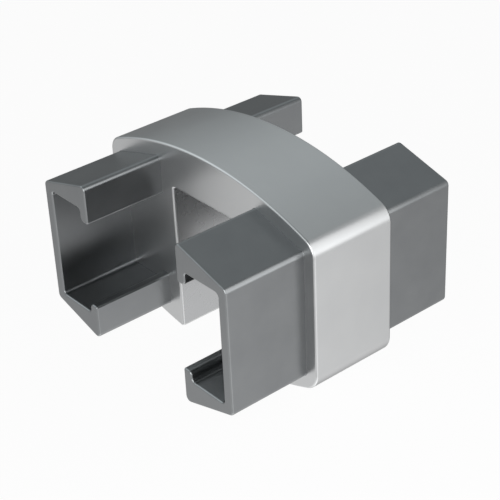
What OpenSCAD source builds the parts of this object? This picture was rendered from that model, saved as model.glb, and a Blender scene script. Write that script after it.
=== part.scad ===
// Straight connector for two lengths of slotted rectangular handrail tube.
// X runs along the tubes, Y across them and Z up, with the slot underneath.
// The origin lies under the middle of the band, level with the slot's lower edges.

/* [Centre band] */
// Width of the band from side to side
band_w = 70; // [60:1:74]
// Height of the band from crown to crown
band_h = 50; // [48:0.5:80]
// Length of the band along the tubes
band_len = 22.2; // [10:0.2:60]
// Radius of the upper and the lower crown
crown_r = 86; // [75:1:300]
// Radius of the band's two upper long corners
upper_corner_r = 4; // [1:0.5:6]
// Radius of the band's two lower long corners
lower_corner_r = 5; // [1:0.5:6]

/* [Slot] */
// Width of the slot between its two walls
slot_w = 23.5; // [10:0.5:28]
// Height of the slot's ceiling above the middle of the band
slot_top = 13.6; // [2:0.2:18]
// Radius of the two long corners along the slot's ceiling
slot_corner_r = 0.5; // [0.2:0.1:2]

/* [Plugs] */
// Length of each plug beyond the band
plug_len = 20.8; // [8:0.2:60]
// Step from the side of the band in to the plugs, for the wall of the tube
side_step = 3; // [1:0.1:5]
// Step from the crowns of the band in to the plugs
crown_step = 3.4; // [1:0.1:4]
// Step from the slot's walls out to the lips of the plugs
slot_step = 4.2; // [1:0.1:6]
// Thickness of the upright outer wall of a plug
wall_t = 2.6; // [1.5:0.1:4]
// Clear height inside a plug, between its two flanges
clear_h = 27.2; // [18:0.2:28]
// Radius of the four fillets inside a plug
fillet_r = 1; // [0.4:0.1:1.2]
// Radius of a plug's outer corners, at its wall and at the bottom of its lower lip
plug_corner_r = 1.3; // [0.3:0.1:1.6]

/* [Lips of the plugs] */
// Thickness of the lips along the open side of a plug
lip_t = 2.6; // [1.8:0.1:3]
// How far the upper lip hangs down from the upper flange
upper_reach = 3.2; // [2.2:0.1:6]
// How far the lower lip stands up from the lower flange
lower_reach = 2.4; // [2.2:0.1:6]
// Radius of each lip's tip towards the hollow
tip_r = 1.1; // [0.4:0.1:1.2]
// Radius of each lip's tip towards the slot
tip_edge_r = 0.5; // [0.2:0.1:0.7]
// Radius of the upper lip's top edge, beside the slot
top_edge_r = 0.8; // [0.3:0.1:1.4]

/* [Hidden] */
$fn = 96;

// Small overlap that joins a plug to the band behind it
bond = 0.5;
// Lap of each round past the faces that it blends into, too small to see
lap = 0.001;
// Extra length of a cut past the faces that it opens
clear_cut = 2;

// Height of the middle of the band above the slot's lower edges
mid_z = crown_at(slot_w / 2);

// Places of the inner and outer faces of a plug, measured from the middle plane
lip_y = slot_w / 2 + slot_step;
wall_y = band_w / 2 - side_step;

// Half heights of a plug at its lips and at its outer wall
lip_z = crown_at(lip_y) - crown_step;
wall_z = crown_at(wall_y) - crown_step;

// Sides of the hollow in a plug, and the heights of the tips of its two lips
hollow_y = lip_y + lip_t;
hollow_end = wall_y - wall_t;
hollow_z = clear_h / 2;
upper_tip = hollow_z - upper_reach;
lower_tip = lower_reach - hollow_z;

// Height of the upper crown's centre, measured from the middle of the band
crown_mid = band_h / 2 - crown_r;

// Height of the crown above the middle of the band, at a distance y from the middle plane
function crown_at(y) = band_h / 2 - crown_r + sqrt(crown_r * crown_r - y * y);

// Centre of the round of radius r that joins the side of the band to its crown
function corner_at(r) =
    let (y = band_w / 2 - r)
    [y, crown_mid + sqrt(pow(crown_r - r, 2) - pow(y, 2))];

// Unit vector from point a to point b
function toward(a, b) = (b - a) / norm(b - a);

// The two ends of the round that fills the corner between back and ahead, and its centre
function round_at(point, back, ahead, r) =
    let (half = acos(back * ahead) / 2)
    [point + back * r / tan(half),
     point + ahead * r / tan(half),
     point + toward([0, 0], back + ahead) * r / sin(half)];

// Outline whose corners, in anticlockwise order, are rounded to the radii listed with them
module rounded_outline(points, radii) {
    n = len(points);
    back = [for (i = [0 : n - 1]) toward(points[i], points[(i + n - 1) % n])];
    ahead = [for (i = [0 : n - 1]) toward(points[i], points[(i + 1) % n])];
    rounds = [for (i = [0 : n - 1]) round_at(points[i], back[i], ahead[i], radii[i])];
    outer = [for (i = [0 : n - 1]) if (cross(ahead[i], back[i]) > 0) i];
    inner = [for (i = [0 : n - 1]) if (cross(ahead[i], back[i]) < 0) i];
    difference() {
        union() {
            polygon([for (ends = rounds) each [ends[0], ends[1]]]);
            for (i = outer) translate(rounds[i][2]) circle(radii[i] + lap);
        }
        for (i = inner) translate(rounds[i][2]) circle(radii[i] + lap);
    }
}

// The part of the band's section under one crown, with its two long corners of radius r
module crown_section(r) {
    corner = corner_at(r);
    turn = asin(corner.x / (crown_r - r));
    reach = crown_r + clear_cut;
    rim = [reach * sin(turn), crown_mid + reach * cos(turn)];
    intersection() {
        translate([0, crown_mid]) circle(crown_r, $fn = 720);
        polygon([[-corner.x, corner.y], corner, rim,
                 [rim.x, band_h], [-rim.x, band_h], [-rim.x, rim.y]]);
    }
    for (end = [-1, 1]) translate([end * corner.x, corner.y]) circle(r + lap);
}

// Section of the band without its slot: two crowns, two upright sides and round corners
module band_section() {
    top = corner_at(upper_corner_r).y;
    bottom = -corner_at(lower_corner_r).y;
    translate([-band_w / 2, bottom]) square([band_w, top - bottom]);
    crown_section(upper_corner_r);
    mirror([0, 1]) crown_section(lower_corner_r);
}

// The slot, open through the lower crown
module slot_section() {
    half_w = slot_w / 2;
    low = -band_h / 2 - clear_cut;
    rounded_outline([[-half_w, low], [half_w, low], [half_w, slot_top], [-half_w, slot_top]],
                    [for (corner = [1 : 4]) slot_corner_r]);
}

// Section of one plug: a channel with tapered flanges and lips along its open side
module plug_section() {
    outside = [[lip_y, lower_tip], [lip_y, -lip_z], [wall_y, -wall_z],
               [wall_y, wall_z], [lip_y, lip_z], [lip_y, upper_tip]];
    outside_r = [tip_edge_r, plug_corner_r, plug_corner_r,
                 plug_corner_r, top_edge_r, tip_edge_r];
    hollow = [[hollow_y, upper_tip], [hollow_y, hollow_z], [hollow_end, hollow_z],
              [hollow_end, -hollow_z], [hollow_y, -hollow_z], [hollow_y, lower_tip]];
    hollow_r = [tip_r, fillet_r, fillet_r, fillet_r, fillet_r, tip_r];
    rounded_outline(concat(outside, hollow), concat(outside_r, hollow_r));
}

// Stands a section drawn across the tube up in the YZ plane and runs it along X
module along_tube(from, length) {
    translate([from, 0, mid_z]) rotate([90, 0, 90]) linear_extrude(length) children();
}

module band() {
    along_tube(-band_len / 2, band_len) difference() {
        band_section();
        slot_section();
    }
}

module plug() {
    along_tube(band_len / 2 - bond, plug_len + bond) plug_section();
}

module connector_body() {
    color("silver") {
        band();
        for (end = [0, 1], side = [0, 1]) mirror([end, 0, 0]) mirror([0, side, 0]) plug();
    }
}

connector_body();
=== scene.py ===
import math

import bpy
import numpy as np
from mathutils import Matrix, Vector
from mathutils.geometry import tessellate_polygon


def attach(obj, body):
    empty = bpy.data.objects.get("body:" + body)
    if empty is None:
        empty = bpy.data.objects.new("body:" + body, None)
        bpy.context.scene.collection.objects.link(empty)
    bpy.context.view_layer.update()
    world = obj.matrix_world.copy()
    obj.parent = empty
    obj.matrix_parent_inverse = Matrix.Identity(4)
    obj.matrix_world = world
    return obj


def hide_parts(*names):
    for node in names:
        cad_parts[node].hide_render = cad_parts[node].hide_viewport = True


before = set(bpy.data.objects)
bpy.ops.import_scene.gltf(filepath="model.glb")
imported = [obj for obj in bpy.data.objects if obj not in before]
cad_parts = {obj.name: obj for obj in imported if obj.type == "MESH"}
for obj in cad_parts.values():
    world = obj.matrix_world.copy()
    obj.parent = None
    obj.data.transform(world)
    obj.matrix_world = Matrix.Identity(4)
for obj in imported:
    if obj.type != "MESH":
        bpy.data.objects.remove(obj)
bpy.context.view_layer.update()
print("frame loaded")

mm = 0.001

# Centre band, in millimetres
band = {
    "width": 70.0,
    "height": 50.0,
    "length": 22.2,
    "crownRadius": 86.0,
    "upperCorner": 4.0,
    "lowerCorner": 5.0,
    "slotWidth": 23.5,
    "slotTop": 13.6,        # ceiling above the middle of the band
    "slotCorner": 0.5,
    "slotEdge": 0.6,        # softened lower edges of the slot
    "rim": 0.5,             # softened rims of both end faces
    "crownSteps": 72,       # points along the upper crown
    "lowerSteps": 24,       # points along each half of the lower crown
    "cornerSteps": 14,      # points round a long corner
    "edgeSteps": 7,         # points round a small radius
}

# Plugs, in millimetres
plug = {
    "length": 20.8,
    "sideStep": 3.0,        # wall of the tube that goes over the plugs
    "crownStep": 3.4,
    "slotStep": 4.2,
    "wall": 2.6,
    "clearHeight": 27.2,
    "fillet": 1.0,
    "corner": 1.3,
    "lip": 2.6,
    "upperReach": 3.2,      # how far the upper lip hangs into the hollow
    "lowerReach": 2.4,      # how far the lower lip stands up into it
    "tip": 1.1,             # round of the lips' tips, towards the hollow
    "tipEdge": 0.5,         # and towards the slot
    "topEdge": 1.1,         # upper long edge beside the slot
    "rim": 0.4,             # softened rim of the free end
    "root": 0.1,            # small fillet where a plug leaves the band
}


def crownHeight(y):
    # height of the crown above the middle: the crown's circle, read off at y
    radius = band["crownRadius"]
    return band["height"] / 2 - radius + math.sqrt(radius ** 2 - y ** 2)


midHeight = crownHeight(band["slotWidth"] / 2)   # the slot's lower edges are at height 0


def arc(centre, radius, start, end, steps, side=1, worn=0):
    # centre + radius * (cos a, sin a), with a even from start to end in degrees;
    # the normal is that same direction, turned round where the arc is hollow (side -1);
    # rim wear and a painted highlight rise to their peak halfway along the arc, as the sine of
    # half a turn
    angle = np.radians(np.linspace(start, end, steps))
    ray = np.stack([np.cos(angle), np.sin(angle)], axis=1)
    wear = worn * np.sin(np.linspace(0, math.pi, steps))
    return np.array(centre) + radius * ray, side * ray, wear


def roundedOutline(corners, radii, steps=9):
    # each corner gives way to an arc that touches both its edges: its centre lies on the
    # bisector at radius / sin(half angle), and its ends at radius / tan(half angle);
    # a corner that stands out gets the most wear and painted highlight halfway along its arc
    corners = np.array(corners, float)
    radii = np.array(radii, float)[:, None]
    back = np.roll(corners, 1, axis=0) - corners
    ahead = np.roll(corners, -1, axis=0) - corners
    back /= np.linalg.norm(back, axis=1, keepdims=True)
    ahead /= np.linalg.norm(ahead, axis=1, keepdims=True)
    half = np.arccos(np.clip((back * ahead).sum(axis=1, keepdims=True), -1, 1)) / 2
    bisector = (back + ahead) / np.linalg.norm(back + ahead, axis=1, keepdims=True)
    centres = corners + bisector * radii / np.sin(half)
    first = corners + back * radii / np.tan(half) - centres
    last = corners + ahead * radii / np.tan(half) - centres
    start = np.arctan2(first[:, 1], first[:, 0])[:, None]
    sweep = np.arctan2(last[:, 1], last[:, 0])[:, None] - start
    sweep = (sweep + math.pi) % (2 * math.pi) - math.pi
    angle = start + sweep * np.linspace(0, 1, steps)
    ray = np.stack([np.cos(angle), np.sin(angle)], axis=2)
    points = centres[:, None, :] + radii[:, :, None] * ray
    normals = ray * np.sign(sweep)[:, :, None]
    wear = (sweep > 0) * np.sin(np.linspace(0, math.pi, steps))
    return points.reshape(-1, 2), normals.reshape(-1, 2), wear.reshape(-1)


def cornerArc(corner):
    # a long corner touches the side and the crown: its centre is one corner radius inside the
    # side and on a circle that much smaller than the crown's, and it turns by acos(y / inner)
    inner = band["crownRadius"] - corner
    y = band["width"] / 2 - corner
    z = band["height"] / 2 - band["crownRadius"] + math.sqrt(inner ** 2 - y ** 2)
    return y, z, math.degrees(math.acos(y / inner))


def bandOutline():
    # anticlockwise from the slot's right lower edge: lower crown, long corners, upper crown,
    # long corners, lower crown, slot; the arcs touch where the normals agree
    radius = band["crownRadius"]
    crown = band["height"] / 2 - radius
    upper, lower = band["upperCorner"], band["lowerCorner"]
    upperY, upperZ, upperTurn = cornerArc(upper)
    lowerY, lowerZ, lowerTurn = cornerArc(lower)
    edge, fillet = band["slotEdge"], band["slotCorner"]
    slotY, slotZ = band["slotWidth"] / 2, band["slotTop"]
    edgeY = slotY + edge
    edgeZ = -crown - math.sqrt((radius - edge) ** 2 - edgeY ** 2)
    meet = math.degrees(math.acos(edgeY / (radius - edge)))
    crownSteps, lowerSteps = band["crownSteps"], band["lowerSteps"]
    cornerSteps, edgeSteps = band["cornerSteps"], band["edgeSteps"]
    runs = [
        arc((edgeY, edgeZ), edge, -180, -meet, edgeSteps, worn=1),
        arc((0, -crown), radius, -meet, -lowerTurn, lowerSteps),
        arc((lowerY, -lowerZ), lower, -lowerTurn, 0, cornerSteps),
        arc((upperY, upperZ), upper, 0, upperTurn, cornerSteps),
        arc((0, crown), radius, upperTurn, 180 - upperTurn, crownSteps),
        arc((-upperY, upperZ), upper, 180 - upperTurn, 180, cornerSteps),
        arc((-lowerY, -lowerZ), lower, 180, 180 + lowerTurn, cornerSteps),
        arc((0, -crown), radius, 180 + lowerTurn, 180 + meet, lowerSteps),
        arc((-edgeY, edgeZ), edge, 180 + meet, 360, edgeSteps, worn=1),
        arc((fillet - slotY, slotZ - fillet), fillet, 180, 90, edgeSteps, side=-1),
        arc((slotY - fillet, slotZ - fillet), fillet, 90, 0, edgeSteps, side=-1),
    ]
    points, normals, wear = (np.concatenate(values) for values in zip(*runs))
    step = np.linalg.norm(points - np.roll(points, 1, axis=0), axis=1)
    fresh = step > 1e-6      # where two arcs meet, their shared point is kept once
    return points[fresh], normals[fresh], wear[fresh]


def plugOutline():
    # a channel with tapered flanges: its outer corners, then back round the hollow; the crowns
    # of the flanges stay crownStep under the band's, so their corners follow crownHeight
    lipY = band["slotWidth"] / 2 + plug["slotStep"]
    wallY = band["width"] / 2 - plug["sideStep"]
    lipZ = crownHeight(lipY) - plug["crownStep"]
    wallZ = crownHeight(wallY) - plug["crownStep"]
    innerY, farY = lipY + plug["lip"], wallY - plug["wall"]
    hollowZ = plug["clearHeight"] / 2
    upperTip, lowerTip = hollowZ - plug["upperReach"], plug["lowerReach"] - hollowZ
    corners = [(lipY, lowerTip), (lipY, -lipZ), (wallY, -wallZ), (wallY, wallZ), (lipY, lipZ),
               (lipY, upperTip), (innerY, upperTip), (innerY, hollowZ), (farY, hollowZ),
               (farY, -hollowZ), (innerY, -hollowZ), (innerY, lowerTip)]
    edge, corner, tip, fillet = plug["tipEdge"], plug["corner"], plug["tip"], plug["fillet"]
    radii = [edge, corner, corner, corner, plug["topEdge"], edge,
             tip, fillet, fillet, fillet, fillet, tip]
    return roundedOutline(corners, radii)


def rimRings(end, radius, grow=1, worn=1, steps=6):
    # quarter of a circle in side view: the ring stands radius * (1 - sin a) short of the end and
    # radius * (1 - cos a) inside the outline, and its normal leans towards the end by sin a;
    # the rim's wear and painted highlight are the peak times sin 2a, so they are greatest halfway
    # round; grow -1 makes a hollow root of it
    angle = np.linspace(0, math.pi / 2, steps)
    away = grow * radius * (1 - np.sin(angle))
    inset = grow * radius * (1 - np.cos(angle))
    return end - away, inset, np.sin(angle), worn * np.sin(2 * angle)


def sweptSkin(outline, rings):
    # point (i, j) = outline point j, moved in along its normal by inset i and set at x i;
    # normal (i, j) = the outline's normal times cos, with sin along X; wear and painted highlight
    # (i, j) = the larger of the ring's and the outline's, which fades to nothing where the ring is
    # flat
    points, normals, outlineWear = outline
    xs, insets, leans, ringWear = rings
    flat = points[None, :, :] - insets[:, None, None] * normals[None, :, :]
    across = normals[None, :, :] * np.sqrt(1 - leans[:, None, None] ** 2)
    ring = np.ones(len(points))
    places = np.dstack([xs[:, None] * ring, flat])
    leaning = np.dstack([leans[:, None] * ring, across])
    wear = np.maximum(ringWear[:, None], outlineWear[None, :] * (1 - leans[:, None] ** 2))
    count = len(points)
    near = np.arange(count)
    far = (near + 1) % count
    row = np.arange(len(xs) - 1)[:, None] * count
    quads = np.stack([row + near, row + far, row + far + count, row + near + count], axis=2)
    return (places.reshape(-1, 3), leaning.reshape(-1, 3), quads.reshape(-1, 4), count,
            wear.reshape(-1))


def endFace(points, loops, facing):
    # flat face over one outer loop and its holes; a triangle whose area along X has the wrong
    # sign is turned round, and one without area is left out
    rims = [points[loop][:, 1:].tolist() for loop in loops]
    index = np.concatenate(loops)
    faces = index[np.array(tessellate_polygon(rims))]
    yz = points[faces][:, :, 1:]
    a, b = yz[:, 1] - yz[:, 0], yz[:, 2] - yz[:, 0]
    area = a[:, 0] * b[:, 1] - a[:, 1] * b[:, 0]
    real = np.abs(area) > 1e-9
    faces, area = faces[real], area[real]
    turned = area * facing < 0
    faces[turned] = faces[turned][:, ::-1]
    return faces


def mirrored(outline):
    # y becomes -y, in reverse order, so that the outline still runs anticlockwise
    points, normals, wear = outline
    return points[::-1] * [-1, 1], normals[::-1] * [-1, 1], wear[::-1]


def reversedRings(rings):
    # x becomes -x, in reverse order, so that the rings still run from low x to high x
    xs, insets, leans, wear = rings
    return -xs[::-1], insets[::-1], -leans[::-1], wear[::-1]


def joinedRings(*parts):
    # one run of rings after the other
    return tuple(np.concatenate(values) for values in zip(*parts))


def connectorMesh():
    # one closed skin: the band's sweep, four plug sweeps that start on its end faces, and flat
    # ends; material 0 is the band, 1 the plugs and 2 the slot's inside, darker as painted shade
    halfBand = band["length"] / 2
    rim = rimRings(halfBand, band["rim"])
    skins = [sweptSkin(bandOutline(), joinedRings(reversedRings(rim), rim))]
    hollow = rimRings(halfBand, plug["root"], grow=-1, worn=0)
    root = tuple(values[::-1] for values in hollow)
    outer = joinedRings(root, rimRings(halfBand + plug["length"], plug["rim"]))
    shape = plugOutline()
    for rings in (outer, reversedRings(outer)):
        for outline in (shape, mirrored(shape)):
            skins.append(sweptSkin(outline, rings))
    points, normals, quads, counts, wear = zip(*skins)
    starts = np.cumsum([0] + [len(part) for part in points])
    quads = [part + start for part, start in zip(quads, starts)]
    firstRing = [np.arange(count) + start for count, start in zip(counts, starts)]
    lastRing = [np.arange(count) + end - count for count, end in zip(counts, starts[1:])]
    points, normals, wear = (np.concatenate(parts) for parts in (points, normals, wear))
    caps = [
        endFace(points, [lastRing[0], firstRing[1], firstRing[2]], 1),
        endFace(points, [firstRing[0], lastRing[3], lastRing[4]], -1),
        endFace(points, [lastRing[1]], 1),
        endFace(points, [lastRing[2]], 1),
        endFace(points, [firstRing[3]], -1),
        endFace(points, [firstRing[4]], -1),
    ]
    slack = 0.001      # mm, so that the slot's own flat walls count as in it
    inWidth = np.abs(points[:, 1]) < band["slotWidth"] / 2 + slack
    inSlot = inWidth & (points[:, 2] < band["slotTop"] + slack)
    # the slot's inside takes material 2, a darker colour painted as shade in the recess
    finish = np.where(inSlot[quads[0]].all(axis=1), 2, 0).tolist()
    finish += [1] * sum(len(part) for part in quads[1:])
    finish += [0] * (len(caps[0]) + len(caps[1]))
    finish += [1] * sum(len(cap) for cap in caps[2:])
    faces = np.concatenate(quads).tolist() + np.concatenate(caps).tolist()
    points = (points + [0, 0, midHeight]) * mm
    mesh = bpy.data.meshes.new("connectorCasting")
    mesh.from_pydata(points.tolist(), [], faces)
    mesh.polygons.foreach_set("material_index", np.array(finish, np.int32))
    mesh.polygons.foreach_set("use_smooth", np.ones(len(faces), bool))
    mesh.normals_split_custom_set_from_vertices(normals.tolist())
    # the wear attribute marks the rims for their worn finish and a painted highlight
    worn = mesh.attributes.new("wear", "FLOAT", "POINT")
    worn.data.foreach_set("value", wear.astype(np.float32))
    mesh.update()
    return mesh


def srgb(text):
    # each pair of hex digits over 255, turned linear by the sRGB curve
    values = [int(text[i:i + 2], 16) / 255 for i in (1, 3, 5)]
    linear = [v / 12.92 if v <= 0.04045 else ((v + 0.055) / 1.055) ** 2.4 for v in values]
    return (*linear, 1.0)


def addNode(tree, kind, settings=None, inputs=None, links=None):
    # one node with its settings, its socket values and its incoming links
    node = tree.nodes.new(kind)
    for name, value in (settings or {}).items():
        setattr(node, name, value)
    for name, value in (inputs or {}).items():
        node.inputs[name].default_value = value
    for name, source in (links or {}).items():
        tree.links.new(source, node.inputs[name])
    return node


# Satin-polished cast stainless steel, for the band that stays in sight: pale, with a soft broad
# sheen and no sharp mirror image
satinSteel = {
    "light": "#cacbcb",
    "dark": "#c1c2c3",
    "edge": "#d9dbdc",      # rims cut bright by the wheel, with a painted highlight along them
    "edgeRoughness": 0.28,
    "wear": (0.0, 0.3),     # how much of the edge's finish and painted highlight shows, from patch to patch
    "roughness": (0.29, 0.35),
    "grain": 0.35,          # mm, marks of the satin wheel, drawn coarser than the real 0.1
    "cloud": 9.0,           # mm, slow change of the polish
    "bump": 0.002,          # mm
}

# Cast stainless steel for the slot's inside: a shade darker than the band, as painted shade in
# the recess, and a little smoother than it
slotSteel = {
    "light": "#b4b5b6",
    "dark": "#abacad",
    "edge": "#c6c8c9",
    "edgeRoughness": 0.28,
    "wear": (0.0, 0.1),
    "roughness": (0.24, 0.30),
    "grain": 0.40,          # mm, grit marks, drawn coarser than the real 0.15
    "cloud": 8.0,           # mm
    "bump": 0.0015,         # mm
}

# Blasted cast stainless steel, for the plugs that go out of sight: mid grey and evenly matt,
# with paler rims, partly worn and partly a painted highlight
blastedSteel = {
    "light": "#888a8b",
    "dark": "#7c7e80",
    "edge": "#a6a9aa",      # rims rubbed bright against the tube, with a painted highlight along them
    "edgeRoughness": 0.30,
    "wear": (0.15, 0.6),
    "roughness": (0.30, 0.36),
    "grain": 0.45,          # mm, grit marks, drawn coarser than the real 0.15
    "cloud": 7.0,           # mm
    "bump": 0.005,          # mm
}

cloudDetail, grainDetail = 3.0, 2.0      # layers of ever finer noise in each pattern


def castSteel(name, look):
    # grain and cloud are noise on Object coordinates; cloud turns colour and roughness, grain the
    # bump, and the mesh's wear, broken up by the cloud, brings in the finish of the edges: rims
    # worn bright, with a painted highlight along them
    material = bpy.data.materials.new(name)
    material.use_nodes = True
    tree = material.node_tree
    shader = tree.nodes["Principled BSDF"]
    place = addNode(tree, "ShaderNodeTexCoord").outputs["Object"]
    cloud = addNode(tree, "ShaderNodeTexNoise",
                    inputs={"Scale": 1 / (look["cloud"] * mm), "Detail": cloudDetail},
                    links={"Vector": place}).outputs["Fac"]
    grain = addNode(tree, "ShaderNodeTexNoise",
                    inputs={"Scale": 1 / (look["grain"] * mm), "Detail": grainDetail},
                    links={"Vector": place}).outputs["Fac"]
    colour = addNode(tree, "ShaderNodeMix", {"data_type": "RGBA"}, links={"Factor": cloud})
    colour.inputs["A"].default_value = srgb(look["dark"])
    colour.inputs["B"].default_value = srgb(look["light"])
    polish = addNode(tree, "ShaderNodeMapRange",
                     inputs={"To Min": look["roughness"][0], "To Max": look["roughness"][1]},
                     links={"Value": cloud}).outputs["Result"]
    bump = addNode(tree, "ShaderNodeBump",
                   inputs={"Strength": 1.0, "Distance": look["bump"] * mm},
                   links={"Height": grain}).outputs["Normal"]
    # rims: worn finish and a painted highlight, read from the mesh's wear attribute
    wear = addNode(tree, "ShaderNodeAttribute", {"attribute_name": "wear"}).outputs["Fac"]
    patchy = addNode(tree, "ShaderNodeMapRange",
                     inputs={"To Min": look["wear"][0], "To Max": look["wear"][1]},
                     links={"Value": cloud}).outputs["Result"]
    rubbed = addNode(tree, "ShaderNodeMath", {"operation": "MULTIPLY"},
                     links={0: wear, 1: patchy}).outputs[0]
    shown = addNode(tree, "ShaderNodeMix", {"data_type": "RGBA"}, links={"Factor": rubbed})
    tree.links.new(colour.outputs["Result"], shown.inputs["A"])
    shown.inputs["B"].default_value = srgb(look["edge"])
    gloss = addNode(tree, "ShaderNodeMix", {"data_type": "FLOAT"}, {"B": look["edgeRoughness"]},
                    {"Factor": rubbed, "A": polish}).outputs["Result"]
    tree.links.new(shown.outputs["Result"], shader.inputs["Base Color"])
    tree.links.new(gloss, shader.inputs["Roughness"])
    tree.links.new(bump, shader.inputs["Normal"])
    shader.inputs["Metallic"].default_value = 1.0
    return material


mesh = connectorMesh()
connector = bpy.data.objects.new("connectorCasting", mesh)
bpy.context.scene.collection.objects.link(connector)
mesh.materials.append(castSteel("satinStainlessSteel", satinSteel))
mesh.materials.append(castSteel("blastedStainlessSteel", blastedSteel))
# material 2 paints shade into the slot's inside
mesh.materials.append(castSteel("shadedSlotStainlessSteel", slotSteel))
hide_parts("connector_body")
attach(connector, "root")
print("casting", len(mesh.vertices), "points", len(mesh.polygons), "faces")

# Floor and background
studio = {
    "floorSize": 6.0,        # metres
    "floorColour": "#e8e8e8",
    "cameraWhite": 0.96,     # share of plain white that the camera sees in the floor
    "fill": 0.10,            # what lights the floor from all round
    "lowColour": "#ffffff",
    "highColour": "#f3fafc",
    "horizon": 0.3,          # sine of the elevation at which one colour has given way to the other
    "haze": 0.03,            # what reflections see between the panels
    "tightness": 6.0,        # how fast a panel fades away from its middle
}

# Pale panels round the object that its metal mirrors: elevation and azimuth of the middle
# in degrees, and brightness, where 1 is white paper
panels = {
    "under": (-90, 0, 0.58),
    "underFront": (-60, 180, 0.4),
    "underRight": (-60, 270, 1.25),
    "underBack": (-60, 90, 0.25),
    "lowLeft": (-35, 145, 0.78),
    "lowFront": (-35, 225, 0.15),
    "lowRight": (-35, 292.5, 0.36),
    "lowFar": (-35, 335, 0.15),
    "lowBack": (-35, 22.5, 0.12),
    "lowRear": (-35, 90, 0.16),
    "left": (-10, 202.5, 0.25),
    "front": (-10, 247.5, 0.25),
    "right": (-10, 292.5, 0.47),
    "upperLeft": (35, 130, 1.35),
    "upperFront": (40, 225, 0.3),
    "back": (15, 67.5, 0.10),
    "upperBack": (40, 67.5, 0.33),
    "upperRight": (40, 22.5, 0.38),
    "overhead": (65, 0, 0.12),
}

# Soft lamps: place in metres, side in metres and power in watts
lamps = {
    "leftLamp": ((-0.226, -0.158, 0.090), 0.25, 0.22),
    "highLamp": ((0.100, -0.180, 0.140), 0.30, 0.09),
    "nearLeftLamp": ((-0.165, -0.085, 0.080), 0.15, 0.12),
    "nearRightLamp": ((0.016, -0.150, 0.085), 0.18, 0.12),
}
lampAim = (-0.01, -0.01, 0.02)      # what they all face, in metres


def paleFloor():
    # a square of studio["floorSize"] metres at height 0; the camera sees lit paper mixed with
    # plain white, and reflections pass it by and see the panels under the object
    half = studio["floorSize"] / 2
    corners = [(-half, -half, 0), (half, -half, 0), (half, half, 0), (-half, half, 0)]
    mesh = bpy.data.meshes.new("floor")
    mesh.from_pydata(corners, [], [(0, 1, 2, 3)])
    floor = bpy.data.objects.new("floor", mesh)
    bpy.context.scene.collection.objects.link(floor)
    material = bpy.data.materials.new("palePaper")
    material.use_nodes = True
    tree = material.node_tree
    tree.nodes.clear()
    ray = addNode(tree, "ShaderNodeLightPath").outputs
    seen = addNode(tree, "ShaderNodeMath", {"operation": "MULTIPLY"},
                   {1: studio["cameraWhite"]}, {0: ray["Is Camera Ray"]}).outputs[0]
    mirror = addNode(tree, "ShaderNodeMath", {"operation": "MAXIMUM"},
                     links={0: ray["Is Glossy Ray"], 1: ray["Is Transmission Ray"]}).outputs[0]
    paper = addNode(tree, "ShaderNodeBsdfDiffuse",
                    inputs={"Color": srgb(studio["floorColour"])}).outputs[0]
    white = addNode(tree, "ShaderNodeEmission", inputs={"Strength": 1.0}).outputs[0]
    clear = addNode(tree, "ShaderNodeBsdfTransparent").outputs[0]
    lit = addNode(tree, "ShaderNodeMixShader", links={0: seen, 1: paper, 2: white}).outputs[0]
    mix = addNode(tree, "ShaderNodeMixShader", links={0: mirror, 1: lit, 2: clear}).outputs[0]
    addNode(tree, "ShaderNodeOutputMaterial", links={"Surface": mix})
    mesh.materials.append(material)


def softLamp(name, place, size, power):
    # a square lamp at place, turned to look at lampAim
    lamp = bpy.data.lights.new(name, "AREA")
    lamp.size = size
    lamp.energy = power
    holder = bpy.data.objects.new(name, lamp)
    holder.location = place
    aim = Vector(lampAim) - Vector(place)
    holder.rotation_euler = aim.to_track_quat("-Z", "Y").to_euler()
    holder.visible_camera = False    # a lamp never shows in a view from its far side
    bpy.context.scene.collection.objects.link(holder)


def towards(elevation, azimuth):
    # unit vector (cos e cos a, cos e sin a, sin e)
    up, along = math.radians(elevation), math.radians(azimuth)
    return (math.cos(up) * math.cos(along), math.cos(up) * math.sin(along), math.sin(up))


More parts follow.
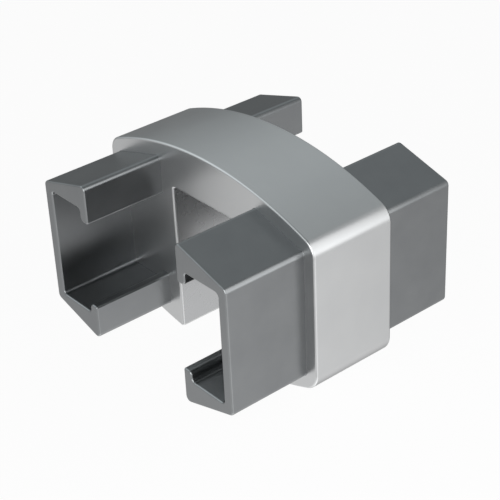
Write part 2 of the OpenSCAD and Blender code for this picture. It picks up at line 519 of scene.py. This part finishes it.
def studioWorld():
    # camera rays see plain white; reflections see the haze and the panels, each as bright as its
    # brightness times cos(angle to its middle) to the power of the tightness; the rest is fill
    world = bpy.data.worlds.new("studioWorld")
    bpy.context.scene.world = world
    world.use_nodes = True
    world.cycles.sampling_method = "NONE"    # the panels are for reflections alone
    tree = world.node_tree
    tree.nodes.clear()
    ray = addNode(tree, "ShaderNodeLightPath").outputs
    direction = addNode(tree, "ShaderNodeTexCoord").outputs["Generated"]
    glow = addNode(tree, "ShaderNodeMath", {"operation": "ADD"},
                   {0: studio["haze"], 1: 0.0}).outputs[0]
    for elevation, azimuth, brightness in panels.values():
        facing = addNode(tree, "ShaderNodeVectorMath", {"operation": "DOT_PRODUCT"},
                         {1: towards(elevation, azimuth)}, {0: direction}).outputs["Value"]
        near = addNode(tree, "ShaderNodeMath", {"operation": "MAXIMUM"},
                       {1: 0.0}, {0: facing}).outputs[0]
        fade = addNode(tree, "ShaderNodeMath", {"operation": "POWER"},
                       {1: studio["tightness"]}, {0: near}).outputs[0]
        glow = addNode(tree, "ShaderNodeMath", {"operation": "MULTIPLY_ADD"},
                       {1: brightness}, {0: fade, 2: glow}).outputs[0]
    mirror = addNode(tree, "ShaderNodeMath", {"operation": "MAXIMUM"},
                     links={0: ray["Is Glossy Ray"], 1: ray["Is Transmission Ray"]}).outputs[0]
    level = addNode(tree, "ShaderNodeMix", {"data_type": "FLOAT"}, {"A": studio["fill"]},
                    {"Factor": mirror, "B": glow}).outputs["Result"]
    strength = addNode(tree, "ShaderNodeMix", {"data_type": "FLOAT"}, {"B": 1.0},
                       {"Factor": ray["Is Camera Ray"], "A": level}).outputs["Result"]
    height = addNode(tree, "ShaderNodeSeparateXYZ", links={0: direction}).outputs["Z"]
    rise = addNode(tree, "ShaderNodeMapRange", {"interpolation_type": "SMOOTHSTEP"},
                   {"From Min": -studio["horizon"], "From Max": studio["horizon"]},
                   {"Value": height}).outputs["Result"]
    tint = addNode(tree, "ShaderNodeMath", {"operation": "MULTIPLY"},
                   links={0: rise, 1: mirror}).outputs[0]
    colour = addNode(tree, "ShaderNodeMix", {"data_type": "RGBA"}, links={"Factor": tint})
    colour.inputs["A"].default_value = srgb(studio["lowColour"])
    colour.inputs["B"].default_value = srgb(studio["highColour"])
    back = addNode(tree, "ShaderNodeBackground",
                   links={"Color": colour.outputs["Result"], "Strength": strength}).outputs[0]
    addNode(tree, "ShaderNodeOutputWorld", links={"Surface": back})


paleFloor()
studioWorld()
for name, (place, size, power) in lamps.items():
    softLamp(name, place, size, power)
print("studio ready")

# The photograph's viewpoint, in metres, degrees and, for the lens and its sensor, millimetres
view = {
    "place": (-0.18171, -0.22541, 0.19653),
    "turn": (58.848, 2.352, -40.402),
    "lens": 106.69,
    "sensor": 36.0,
    "near": 0.01,
    "far": 50.0,
}

camera = bpy.data.objects.new("camera", bpy.data.cameras.new("camera"))
camera.location = view["place"]
camera.rotation_euler = [math.radians(angle) for angle in view["turn"]]
camera.data.lens = view["lens"]
camera.data.sensor_width = view["sensor"]
camera.data.clip_start = view["near"]
camera.data.clip_end = view["far"]
bpy.context.scene.collection.objects.link(camera)
bpy.context.scene.camera = camera
bpy.context.scene.view_settings.view_transform = "Standard"
print("camera set")
